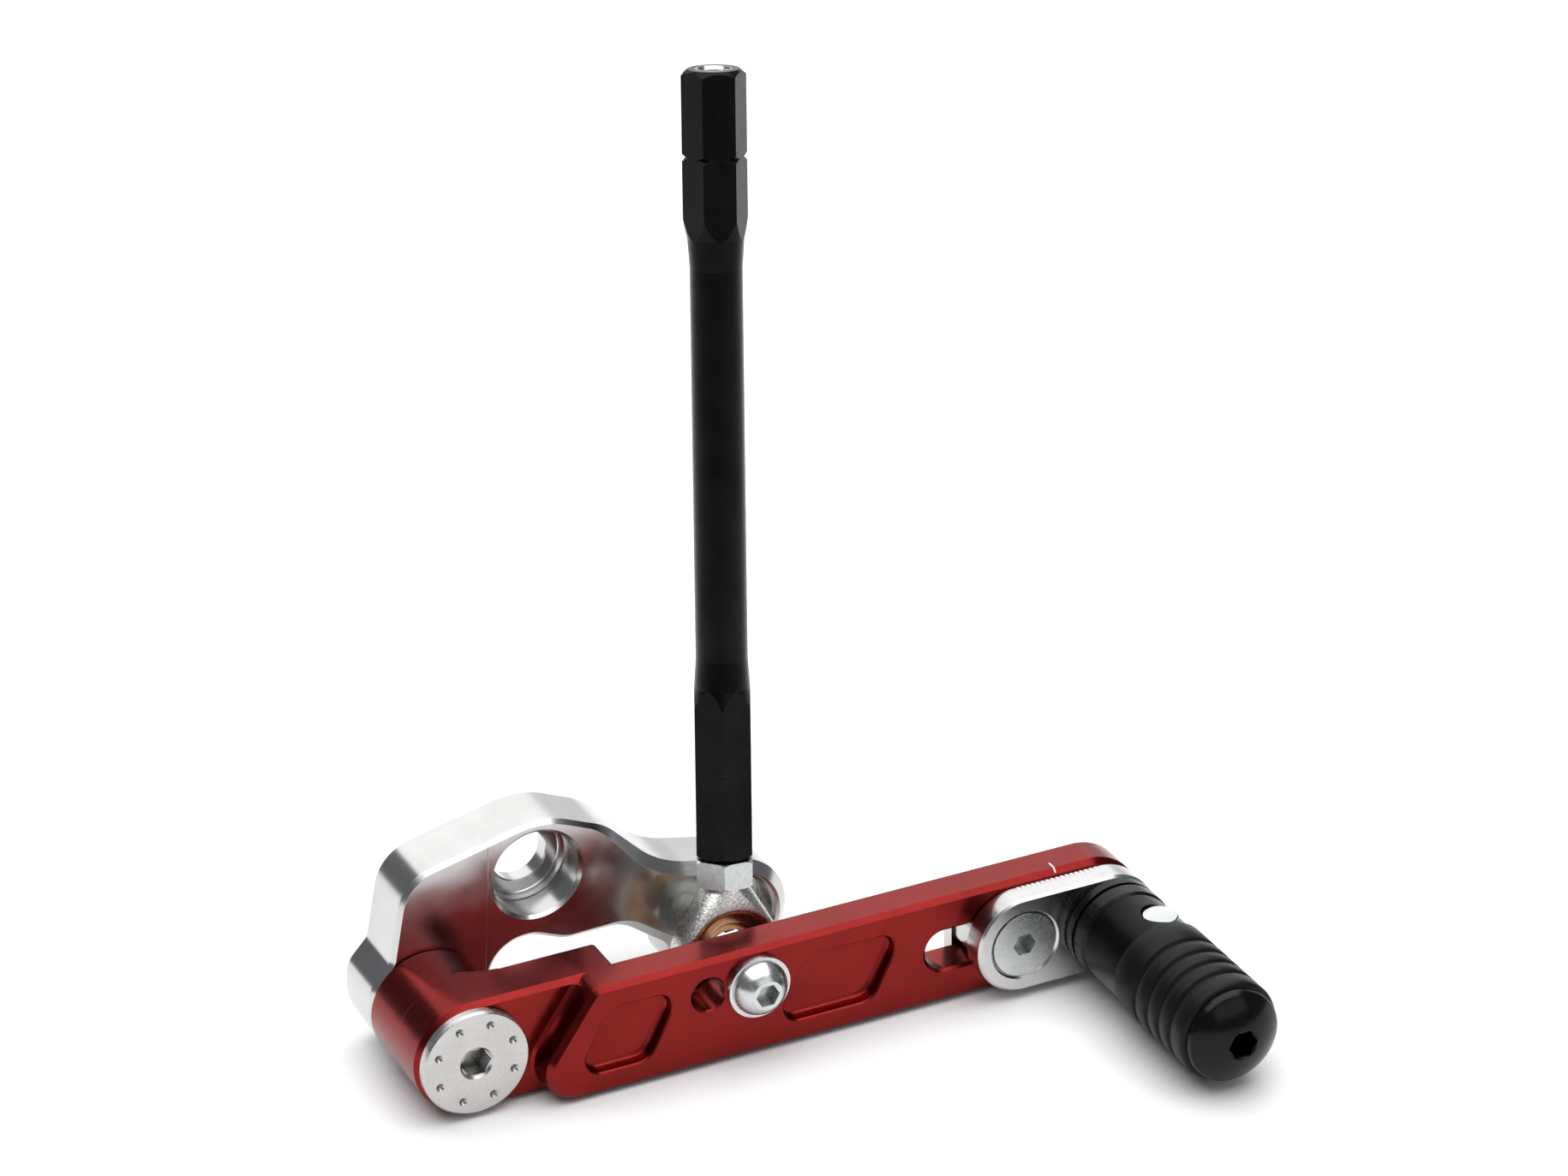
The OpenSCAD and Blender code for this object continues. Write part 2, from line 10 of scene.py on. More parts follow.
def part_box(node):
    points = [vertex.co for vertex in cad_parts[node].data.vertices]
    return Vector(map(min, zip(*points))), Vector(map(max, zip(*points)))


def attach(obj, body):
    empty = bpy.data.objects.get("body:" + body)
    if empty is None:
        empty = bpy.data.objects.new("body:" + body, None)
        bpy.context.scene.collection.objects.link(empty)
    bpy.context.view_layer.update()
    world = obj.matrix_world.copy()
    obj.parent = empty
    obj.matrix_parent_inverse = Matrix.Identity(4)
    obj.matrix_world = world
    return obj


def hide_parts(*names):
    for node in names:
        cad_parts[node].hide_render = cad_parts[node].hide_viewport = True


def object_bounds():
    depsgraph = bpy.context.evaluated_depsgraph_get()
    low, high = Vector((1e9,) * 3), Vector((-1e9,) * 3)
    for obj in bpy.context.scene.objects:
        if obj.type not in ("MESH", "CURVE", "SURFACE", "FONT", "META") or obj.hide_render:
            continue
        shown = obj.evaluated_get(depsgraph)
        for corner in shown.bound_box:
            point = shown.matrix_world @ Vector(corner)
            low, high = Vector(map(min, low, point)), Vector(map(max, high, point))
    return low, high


# Sizes are in millimetres in the outlines and profiles, and meshes are scaled once, when made.
# Lights, floor and camera are in metres, as the frame is.
MM = 0.001

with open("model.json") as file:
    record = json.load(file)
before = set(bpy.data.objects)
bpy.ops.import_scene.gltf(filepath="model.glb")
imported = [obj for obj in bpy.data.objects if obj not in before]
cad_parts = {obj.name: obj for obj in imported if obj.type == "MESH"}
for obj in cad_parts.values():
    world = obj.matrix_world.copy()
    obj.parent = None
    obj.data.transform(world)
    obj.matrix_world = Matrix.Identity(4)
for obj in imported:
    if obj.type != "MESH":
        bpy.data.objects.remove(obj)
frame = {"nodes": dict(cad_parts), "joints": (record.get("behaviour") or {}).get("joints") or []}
cad_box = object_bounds()
NODES = frame["nodes"]
JOINTS = {j["name"]: j for j in frame["joints"]}


def mm(node):
    """The low and the high corner of a node's box, in millimetres."""
    low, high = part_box(node)
    return low / MM, high / MM


# ---- camera ----

CAMERA_PLACE = (-0.3163, -0.7776, 0.4763)
CAMERA_AZIMUTH, CAMERA_ELEVATION, CAMERA_ROLL = radians(-25.566), radians(26.903), radians(-1.013)
CAMERA_LENS, SENSOR_WIDTH = 122.36, 36


def add_camera():
    azimuth, elevation = CAMERA_AZIMUTH, CAMERA_ELEVATION
    back = Vector((sin(azimuth) * cos(elevation), -cos(azimuth) * cos(elevation), sin(elevation)))
    turn = back.to_track_quat("Z", "Y").to_matrix() @ Matrix.Rotation(CAMERA_ROLL, 3, "Z")
    camera = bpy.data.objects.new("camera", bpy.data.cameras.new("camera"))
    camera.data.sensor_width, camera.data.lens = SENSOR_WIDTH, CAMERA_LENS
    camera.data.clip_start, camera.data.clip_end = 0.05, 20
    camera.matrix_world = Matrix.Translation(CAMERA_PLACE) @ turn.to_4x4()
    bpy.context.scene.collection.objects.link(camera)
    bpy.context.scene.camera = camera


# ---- outlines, as lists of (x, z) points ----

def circle(centre, r, steps=96):
    return [Vector((centre[0] + r * cos(tau * i / steps), centre[1] + r * sin(tau * i / steps)))
            for i in range(steps)]


def rounded(corners, steps=10):
    """An outline whose corners are (x, z, radius), with each corner rounded."""
    points = []
    for i, (x, z, r) in enumerate(corners):
        corner = Vector((x, z))
        u = (Vector(corners[i - 1][:2]) - corner).normalized()
        w = (Vector(corners[(i + 1) % len(corners)][:2]) - corner).normalized()
        half = acos(u.dot(w)) / 2
        centre = corner + (u + w).normalized() * r / sin(half)
        side = 1 if u.x * w.y - u.y * w.x > 0 else -1
        middle = atan2(-(u + w).y, -(u + w).x)
        for k in range(steps + 1):
            t = middle + side * (pi / 2 - half) * (1 - 2 * k / steps)
            points.append(centre + Vector((cos(t), sin(t))) * r)
    return points


def stadium(x0, x1, z, r, steps=32):
    """Two half circles about (x0, z) and (x1, z), joined by straight sides."""
    left = [Vector((x0 + r * cos(t), z + r * sin(t)))
            for t in (pi / 2 + pi * i / steps for i in range(steps + 1))]
    right = [Vector((x1 + r * cos(t), z + r * sin(t)))
             for t in (-pi / 2 + pi * i / steps for i in range(steps + 1))]
    return left + right


def area(points):
    """The signed area, above zero where the points run anticlockwise."""
    return sum(a.x * b.y - b.x * a.y for a, b in zip(points, points[1:] + points[:1])) / 2


def grown(points, d):
    """The outline moved outwards by d, or inwards where d is below zero. A list of distances
    gives each point its own."""
    if not d:
        return points
    side = 1 if area(points) > 0 else -1
    distances = d if isinstance(d, list) else [d] * len(points)
    out = []
    for i, (p, d) in enumerate(zip(points, distances)):
        a, b = (p - points[i - 1]), (points[(i + 1) % len(points)] - p)
        a, b = a.normalized(), b.normalized()
        na, nb = Vector((a.y, -a.x)) * side, Vector((b.y, -b.x)) * side
        out.append(p + (na + nb) * d / (1 + na.dot(nb)))
    return out


# ---- solids from outlines ----

class Plate:
    """A solid bounded by flat faces across Y: rings of points, joined by walls and caps."""

    def __init__(self):
        self.bm = bmesh.new()

    def ring(self, points, y):
        depths = y if isinstance(y, list) else [y] * len(points)
        return [self.bm.verts.new((p.x * MM, depth * MM, p.y * MM)) for p, depth in zip(points, depths)]

    def wall(self, outline, steps):
        """Rings of the outline at each (growth, y), joined in order. Returns the first and last."""
        rings = [self.ring(grown(outline, d), y) for d, y in steps]
        for a, b in zip(rings, rings[1:]):
            for i in range(len(a)):
                self.bm.faces.new((a[i - 1], a[i], b[i], b[i - 1]))
        return rings[0], rings[-1]

    def tube(self, at, profile, steps=96):
        """A round hole or boss from (radius, y) points. Returns its first and last ring."""
        rings = [self.ring(circle(at, r, steps), y) for r, y in profile]
        for a, b in zip(rings, rings[1:]):
            for i in range(steps):
                self.bm.faces.new((a[i - 1], a[i], b[i], b[i - 1]))
        return rings[0], rings[-1]

    def cap(self, outer, holes=()):
        """A flat face inside one ring and outside the others, with sharp edges."""
        loops = [outer, *holes]
        flat = [[Vector((v.co.x, v.co.z, 0)) for v in loop] for loop in loops]
        verts = [v for loop in loops for v in loop]
        for tri in tessellate_polygon(flat):
            try:
                self.bm.faces.new([verts[i] for i in tri])
            except ValueError:
                continue  # the same three corners came twice
        for loop in loops:
            for a, b in zip(loop, loop[1:] + loop[:1]):
                edge = self.bm.edges.get((a, b))
                if edge:
                    edge.smooth = False

    def mesh(self, name):
        bmesh.ops.recalc_face_normals(self.bm, faces=self.bm.faces)
        data = bpy.data.meshes.new(name)
        self.bm.to_mesh(data)
        self.bm.free()
        return data


def turned(profile, steps=96):
    """A closed solid of revolution about Z, from (radius, height) points. The profile starts and
    ends on the axis, or else is itself a closed loop."""
    bm = bmesh.new()
    rings = []
    for r, h in profile:
        if r < 1e-6:
            rings.append([bm.verts.new((0, 0, h * MM))])
        else:
            turns = [tau * i / steps for i in range(steps)]
            rings.append([bm.verts.new((r * cos(t) * MM, r * sin(t) * MM, h * MM)) for t in turns])
    for a, b in zip(rings, rings[1:]):
        for i in range(steps):
            corners = [a[i - 1], a[i], b[i], b[i - 1]] if len(a) > 1 and len(b) > 1 else (
                [a[0], b[i], b[i - 1]] if len(a) == 1 else [a[i - 1], a[i], b[0]])
            bm.faces.new(corners)
    if len(rings[0]) > 1 and len(rings[-1]) > 1:
        for i in range(steps):
            bm.faces.new([rings[-1][i - 1], rings[-1][i], rings[0][i], rings[0][i - 1]])
    bmesh.ops.recalc_face_normals(bm, faces=bm.faces)
    data = bpy.data.meshes.new("turned")
    bm.to_mesh(data)
    bm.free()
    return data


def placed(data, matrix):
    """An object whose mesh is moved into place, and whose own origin stays at the frame's."""
    data.transform(matrix)
    obj = bpy.data.objects.new("shape", data)
    bpy.context.scene.collection.objects.link(obj)
    return obj


def along_y(at, y=0.0, turn=0.0):
    """Turns local Z to the frame's +Y, at an (x, z) place, after a turn about that axis."""
    return (Matrix.Translation((at[0] * MM, y * MM, at[1] * MM)) @ Matrix.Rotation(-pi / 2, 4, "X")
            @ Matrix.Rotation(turn, 4, "Z"))


def combine(obj, others, operation):
    """Cuts, joins or intersects the object with the others, one at a time, and uses them up."""
    for other in others:
        modifier = obj.modifiers.new("combine", "BOOLEAN")
        modifier.operation, modifier.object, modifier.solver = operation, other, "EXACT"
        bpy.context.view_layer.update()
        result = bpy.data.meshes.new_from_object(
            obj.evaluated_get(bpy.context.evaluated_depsgraph_get()))
        obj.modifiers.clear()
        obj.data = result
        bpy.data.objects.remove(other)
    return obj


def without_slivers(obj):
    """Takes out the faces with no area that cutting leaves behind."""
    apart, passes = 0.001 * MM, 2
    bm = bmesh.new()
    bm.from_mesh(obj.data)
    for _ in range(passes):
        bmesh.ops.triangulate(bm, faces=[f for f in bm.faces if len(f.verts) > 4])
        bmesh.ops.remove_doubles(bm, verts=bm.verts, dist=apart)
        bmesh.ops.dissolve_degenerate(bm, edges=bm.edges, dist=2 * apart)
    bm.to_mesh(obj.data)
    bm.free()
    return obj


def shade(obj, angle=28):
    """Smooth shading, with sharp edges where faces meet at more than the angle, in degrees."""
    for face in obj.data.polygons:
        face.use_smooth = True
    obj.data.set_sharp_from_angle(angle=radians(angle))
    return obj


def finish_piece(obj, name, body, slot, material, *replaced):
    """Names the piece, gives it its material, and puts it on its body. The slot argument is not used."""
    obj.name = obj.data.name = name
    obj.data.materials.clear()
    obj.data.materials.append(material)
    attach(obj, body)
    if replaced:
        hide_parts(*replaced)
    return obj


# ---- materials ----

# Most values of a noise texture lie between these
NOISE_LOW, NOISE_HIGH = 0.35, 0.65
BEVEL_SAMPLES, RECESS_SAMPLES = 6, 24
# Share of open sky in a recess where its painted shade is darkest, and where the painted shade ends
RECESS_SHUT, RECESS_OPEN = 0.25, 0.85


class Shader:
    """A node material built around one Principled shader."""

    def __init__(self, name, colour, roughness, metallic=1.0, **inputs):
        self.material = bpy.data.materials.new(name)
        self.material.use_nodes = True
        self.nodes, self.links = self.material.node_tree.nodes, self.material.node_tree.links
        self.shader = self.nodes["Principled BSDF"]
        self.set(self.shader, Base_Color=(*colour, 1), Roughness=roughness, Metallic=metallic, **inputs)
        self.place = self.add("ShaderNodeTexCoord").outputs["Object"]
        self.normal = None

    def add(self, kind, **inputs):
        node = self.nodes.new(kind)
        return self.set(node, **inputs)

    def set(self, node, **inputs):
        for key, value in inputs.items():
            node.inputs[key.replace("_", " ")].default_value = value
        return node

    def link(self, a, b):
        self.links.new(a, b)

    def scaled(self, scale, turn=0.0):
        """The place on the object, turned about Y and then stretched."""
        turned_place = self.place
        if turn:
            rotate = self.add("ShaderNodeMapping", Rotation=(0, turn, 0))
            self.link(self.place, rotate.inputs["Vector"])
            turned_place = rotate.outputs["Vector"]
        mapping = self.add("ShaderNodeMapping", Scale=scale)
        self.link(turned_place, mapping.inputs["Vector"])
        return mapping.outputs["Vector"]

    def noise(self, scale, detail=2.0, stretch=(1, 1, 1), turn=0.0):
        node = self.add("ShaderNodeTexNoise", Scale=scale, Detail=detail)
        self.link(self.scaled(stretch, turn), node.inputs["Vector"])
        return node.outputs["Fac"]

    def colours(self, value, dark, light, low=NOISE_LOW, high=NOISE_HIGH):
        """Colours between dark and light, as the value goes from low to high."""
        node = self.nodes.new("ShaderNodeValToRGB")
        node.color_ramp.elements[0].position, node.color_ramp.elements[1].position = low, high
        node.color_ramp.elements[0].color = (*dark, 1)
        node.color_ramp.elements[1].color = (*light, 1)
        self.link(value, node.inputs["Fac"])
        self.link(node.outputs["Color"], self.shader.inputs["Base Color"])

    def shaded_recesses(self, reach, darkest):
        """Darkens sockets, grooves and inside corners, where little light gets in."""
        node = self.add("ShaderNodeAmbientOcclusion", Distance=reach * MM)
        node.samples, node.only_local = RECESS_SAMPLES, True
        base = self.shader.inputs["Base Color"]
        shade_of = self.add("ShaderNodeMapRange", From_Min=RECESS_SHUT, From_Max=RECESS_OPEN,
                            To_Min=darkest, To_Max=1.0)
        self.link(node.outputs["AO"], shade_of.inputs["Value"])
        mix = self.nodes.new("ShaderNodeMix")
        mix.data_type, mix.blend_type = "RGBA", "MULTIPLY"
        mix.inputs["Factor"].default_value = 1.0
        self.link(base.links[0].from_socket, mix.inputs["A"])
        self.link(shade_of.outputs["Result"], mix.inputs["B"])
        self.link(mix.outputs["Result"], base)

    def rough(self, value, low, high):
        """Roughness between low and high, by a noise value."""
        node = self.add("ShaderNodeMapRange", From_Min=NOISE_LOW, From_Max=NOISE_HIGH,
                        To_Min=low, To_Max=high)
        self.link(value, node.inputs["Value"])
        self.link(node.outputs["Result"], self.shader.inputs["Roughness"])

    def soft_edges(self, radius):
        """Rounds the shading of sharp edges, as a broken edge does."""
        node = self.add("ShaderNodeBevel", Radius=radius * MM)
        node.samples = BEVEL_SAMPLES
        self.normal = node.outputs["Normal"]
        self.link(self.normal, self.shader.inputs["Normal"])

    def bump(self, value, height, strength):
        """Bump of that height in millimetres."""
        node = self.add("ShaderNodeBump", Strength=strength, Distance=height * MM)
        self.link(value, node.inputs["Height"])
        if self.normal:
            self.link(self.normal, node.inputs["Normal"])
        self.normal = node.outputs["Normal"]
        self.link(self.normal, self.shader.inputs["Normal"])


def anodised(name, dark, light, roughness):
    """Anodised aluminium: a tinted metal with a faint grain."""
    patches, sheen, grain = 90, 700, 4200
    s = Shader(name, light, roughness)
    s.soft_edges(radius=0.12)
    s.colours(s.noise(patches, 3), dark, light)
    s.rough(s.noise(sheen, 2), roughness - 0.02, roughness + 0.03)
    s.bump(s.noise(grain, 1), height=0.0015, strength=0.3)
    return s.material


def bare(name, dark, light, roughness, height, shade_in_recesses=0.0):
    """Machined metal with a fine grain and, if the recess value is above zero, painted shade darkening
    its hollows.
    """
    patches, fine = 160, 1500
    s = Shader(name, light, roughness)
    s.colours(s.noise(patches, 3), dark, light)
    if shade_in_recesses:
        s.soft_edges(radius=0.12)
        # Painted shade: the colour is darkened in sockets, dimples and grooves
        s.shaded_recesses(reach=3.0, darkest=shade_in_recesses)
    grain = s.noise(fine, 2)
    s.rough(grain, roughness - 0.04, roughness + 0.05)
    s.bump(grain, height, strength=0.3)
    return s.material


def milled(name, dark, light, roughness):
    """Aluminium milled all over: long cutter lines along the edges and holes, and finer ones that
    run at a slant across the flat faces."""
    patches, long_lines, short_lines, line_depth = 120, 260, 220, 0.001
    across_edges, across_faces, slant = (1, 22, 1), (26, 1, 1), radians(-40)
    s = Shader(name, light, roughness)
    s.soft_edges(radius=0.1)
    s.colours(s.noise(patches, 3), dark, light)
    edge_lines = s.noise(long_lines, 2, across_edges)
    face_lines = s.noise(short_lines, 1, across_faces, slant)
    s.rough(edge_lines, roughness - 0.02, roughness + 0.03)
    s.bump(edge_lines, line_depth, strength=0.3)
    s.bump(face_lines, line_depth, strength=0.25)
    return s.material


def forged(name, dark, overall, light, roughness):
    """Rough plated forging, covered in fine pits that are darker than what is between them."""
    pitting, sheen = 2500, 2600
    s = Shader(name, overall, roughness)
    pits = s.noise(pitting, 2)
    s.colours(pits, dark, light, 0.38, 0.62)
    s.rough(s.noise(sheen, 2), roughness - 0.08, roughness + 0.08)
    s.bump(pits, height=0.08, strength=0.8)
    return s.material


def plastic(name, colour, roughness, height, gloss=0.2, edges=0.15):
    """Nylon, paint or a dull black finish, with a fine texture of that height in millimetres."""
    patches, fine, dimmer, brighter = 90, 3000, 0.8, 1.25
    s = Shader(name, colour, roughness, metallic=0.0, Specular_IOR_Level=gloss)
    if edges:
        s.soft_edges(radius=edges)
    texture = s.noise(fine, 2)
    s.colours(s.noise(patches, 3), tuple(c * dimmer for c in colour), tuple(c * brighter for c in colour))
    s.rough(texture, roughness - 0.05, roughness + 0.07)
    s.bump(texture, height, strength=0.4)
    return s.material


LOOK = {
    "red": anodised("red_anodised", (0.20, 0.017, 0.015), (0.225, 0.019, 0.017), 0.23),
    "black": anodised("black_anodised", (0.010, 0.010, 0.011), (0.016, 0.016, 0.017), 0.30),
    "silver": milled("milled_aluminium", (0.57, 0.565, 0.555), (0.62, 0.615, 0.605), 0.20),
    # The disc's colour carries painted shade in its dimples and hexagon socket
    "disc": bare("satin_disc", (0.53, 0.52, 0.505), (0.58, 0.57, 0.555), 0.27, height=0.001,
                 shade_in_recesses=0.12),
    "zinc": bare("zinc_plate", (0.56, 0.585, 0.58), (0.64, 0.66, 0.65), 0.28, height=0.001),
    # The screws: the same zinc, with painted shade in their sockets
    "screw": bare("zinc_screw", (0.56, 0.585, 0.58), (0.64, 0.66, 0.65), 0.26, height=0.001,
                  shade_in_recesses=0.45),
    "forged": forged("forged_steel", (0.50, 0.49, 0.48), (0.62, 0.61, 0.59), (0.80, 0.79, 0.76), 0.30),
    "bronze": bare("bronze_race", (0.52, 0.27, 0.13), (0.64, 0.36, 0.19), 0.25, height=0.001),
    "ball": bare("polished_ball", (0.72, 0.72, 0.73), (0.80, 0.80, 0.80), 0.08, height=0.0005),
    "grip": plastic("grip_nylon", (0.005, 0.005, 0.005), 0.42, height=0.006, gloss=0.17),
    "gloss": plastic("gloss_black", (0.002, 0.002, 0.002), 0.2, height=0.0005),
    "satin": plastic("satin_black", (0.003, 0.003, 0.003), 0.24, height=0.0003, gloss=0.25, edges=0),
    "white": plastic("white_marks", (0.8, 0.8, 0.8), 0.5, height=0.002),
}

LOOK_OF_NODE = {
    "pivot_bolt": "disc", "front_shim": "zinc", "rear_shim": "zinc", "bearing_spacer": "zinc",
    "front_inner_ring": "ball", "rear_inner_ring": "ball", "front_balls": "ball", "rear_balls": "ball",
    "front_cage": "bronze", "rear_cage": "bronze", "front_outer_ring": "ball", "rear_outer_ring": "ball",
    "bearing_shields": "zinc", "button_screw": "screw", "screw_washer": "zinc", "ball_spacer": "zinc",
    "ball_nut": "zinc", "rod_end_ball": "ball", "rod_end_housing": "forged", "race_liner": "bronze",
    "jam_nut": "zinc", "link_rod": "black", "link_plate": "silver", "clamp_screw": "screw",
    "slot_nut": "silver", "peg_base": "satin", "peg_base_screw": "zinc", "peg_tip": "black",
    "fold_pin": "zinc", "grip_sleeve": "grip", "end_cap": "gloss", "fold_plunger": "zinc",
    "fold_spring": "zinc", "bracket_plate": "silver", "shift_lever": "red",
}
for node, look in LOOK_OF_NODE.items():
    NODES[node].data.materials.clear()
    NODES[node].data.materials.append(LOOK[look])


# ---- places from the frame ----

def middle_of(node):
    """The (x, z) middle of a node's box."""
    low, high = mm(node)
    return (low + high).xz / 2


PIVOT = Vector([c / MM for c in JOINTS["lever_pivot"]["pos_m"]]).xz
PLATE_FRONT, PLATE_BACK = mm("bracket_plate")[0].y, mm("bracket_plate")[1].y
BLADE_FRONT = mm("screw_washer")[1].y
BLADE_REAR = mm("ball_spacer")[0].y
BEARING_DEPTH, ARM_THICKNESS = 0.5, 9.6
ARM_FRONT = mm("front_inner_ring")[0].y - BEARING_DEPTH
ARM_REAR = ARM_FRONT + ARM_THICKNESS
HUB_REAR = mm("shift_lever")[1].y
LEVER_TOP, LEVER_BOTTOM = mm("shift_lever")[1].z, mm("shift_lever")[0].z
LEVER_END = mm("shift_lever")[1].x
HALF_H = (LEVER_TOP - LEVER_BOTTOM) / 2
ROD_SCREW = middle_of("screw_washer")
CLAMP = middle_of("clamp_screw")
PEG = middle_of("grip_sleeve")
SPARE_HOLE = Vector((20.8, -16.4))
FIRST_BOLT, SECOND_BOLT = Vector((0, 0)), Vector((38.2, -19.3))


# ---- bracket ----

# Corners as (x, z, radius)
PLATE_CORNERS = [
    (-33, -30.6, 10.3), (-33, -15.6, 5.5), (-28.7, -11, 3), (-25.5, 5, 9), (1.8, 11.3, 16),
    (13.9, 6.1, 14), (24.6, -5, 18), (50, -10.6, 11), (50, -31.3, 11.8),
    (26.2, -31.3, 6.5), (26.2, -22.5, 3), (16.5, -15.2, 9), (5, -14.9, 8),
    (-1, -12.4, 5), (-9.9, -12.4, 7.3), (-9.9, -30.6, 12),
]
# The front bevel is narrow on the left and grows to the right of a place along X
BEVEL_LEFT, BEVEL_GROWTH, GROWS_FROM, GROWS_OVER = 0.8, 1.2, 11, 9
# Counterbored hole for an M10 socket head, with a small step at its floor
SINK_R, STEP_R, BOLT_HOLE_R, SINK_DEPTH = 8.4, 7.8, 5.25, 8.4


def bracket_plate():
    plate = Plate()
    front, back = PLATE_FRONT, PLATE_BACK
    outline = rounded(PLATE_CORNERS, steps=14)
    bevel = [BEVEL_LEFT + BEVEL_GROWTH * min(1, max(0, (p.x - GROWS_FROM) / GROWS_OVER)) for p in outline]
    faces = [plate.wall(outline, [([-b for b in bevel], front), (0, [front + b for b in bevel]),
                                  (0, back - 0.4), (-0.4, back)])]
    floor = front + SINK_DEPTH
    for at in (FIRST_BOLT, SECOND_BOLT):
        faces.append(plate.tube(at, [
            (SINK_R + 0.6, front), (SINK_R, front + 0.6),
            (SINK_R, floor - 1.4), (SINK_R - 0.3, floor - 1.25), (STEP_R, floor - 1.1),
            (STEP_R, floor - 0.2), (STEP_R - 0.2, floor),
            (BOLT_HOLE_R + 0.25, floor), (BOLT_HOLE_R, floor + 0.2),
            (BOLT_HOLE_R, back - 0.4), (BOLT_HOLE_R + 0.35, back)]))
    plate.cap(faces[0][0], [f[0] for f in faces[1:]])
    plate.cap(faces[0][1], [f[1] for f in faces[1:]])
    obj = shade(placed(plate.mesh("plate"), Matrix()))
    finish_piece(obj, "bracket_plate_body", "bracket", "bare_aluminium", LOOK["silver"], "bracket_plate")


# ---- lever ----

# A full round end is this much short of half a height, so that its two corners stay apart
HAIR = 0.01
BLADE_CORNERS = [
    (-16.2, LEVER_BOTTOM, 6), (-1.1, LEVER_TOP, 3),
    (LEVER_END, LEVER_TOP, HALF_H - HAIR), (LEVER_END, LEVER_BOTTOM, HALF_H - HAIR),
]
# Pockets as (left end at the bottom, width)
POCKETS = ((-5.2, 14.2), (33.7, 19.6))
POCKET_TOP, POCKET_BOTTOM, POCKET_SHEAR, POCKET_DEPTH = -13.85, -26.5, 6.5, 2.5
SCREW_HOLE_R = 3.2
SLOT_FROM, SLOT_TO, SLOT_R = 68.2, 96.0, 4.0
ARM_RIGHT = 5.8


def pocket_outline(x, width):
    top, bottom, shear = POCKET_TOP, POCKET_BOTTOM, POCKET_SHEAR
    return rounded([(x, bottom, 3), (x + shear, top, 5), (x + width + shear, top, 3),
                    (x + width, bottom, 4)])


def blade():
    plate = Plate()
    front, rear = BLADE_FRONT, BLADE_REAR
    outer = plate.wall(rounded(BLADE_CORNERS, steps=20),
                       [(-1.0, front), (0, front + 1.0), (0, rear - 0.4), (-0.4, rear)])
    open_front, open_rear = [], []
    floor = front + POCKET_DEPTH
    for x, width in POCKETS:
        first, last = plate.wall(pocket_outline(x, width), [
            (0.3, front), (0, front + 0.3), (0, floor - 0.8), (-0.11, floor - 0.4),
            (-0.4, floor - 0.11), (-0.8, floor)])
        plate.cap(last)
        open_front.append(first)
    for at in (ROD_SCREW, SPARE_HOLE):
        first, last = plate.tube(at, [(SCREW_HOLE_R + 0.35, front), (SCREW_HOLE_R, front + 0.35),
                                      (SCREW_HOLE_R, rear - 0.3), (SCREW_HOLE_R + 0.3, rear)])
        open_front.append(first)
        open_rear.append(last)
    slot = stadium(SLOT_FROM, SLOT_TO, (LEVER_TOP + LEVER_BOTTOM) / 2, SLOT_R)
    first, last = plate.wall(slot, [(0.55, front), (0, front + 0.55), (0, rear - 0.3), (0.3, rear)])
    plate.cap(outer[0], [*open_front, first])
    plate.cap(outer[1], [*open_rear, last])
    return placed(plate.mesh("blade"), Matrix())


def arm_outline():
    """The arm in front of the hub: a half circle about the pivot and a box to its right."""
    middle, half = PIVOT.y, HALF_H - HAIR
    left = [PIVOT + half * Vector((cos(t), sin(t)))
            for t in (pi / 2 + pi * i / 60 for i in range(61))]
    corner_steps = 6
    box = rounded([(ARM_RIGHT - 9, middle - half, 1), (ARM_RIGHT, middle - half, 1.2),
                   (ARM_RIGHT, middle + half, 1.2), (ARM_RIGHT - 9, middle + half, 1)], corner_steps)
    # Only the box's two right corners
    return left + box[corner_steps + 1:3 * (corner_steps + 1)]


def solid(outline, steps):
    """A closed solid from the outline at each (growth, y)."""
    plate = Plate()
    first, last = plate.wall(outline, steps)
    plate.cap(first)
    plate.cap(last)
    return placed(plate.mesh("solid"), Matrix())


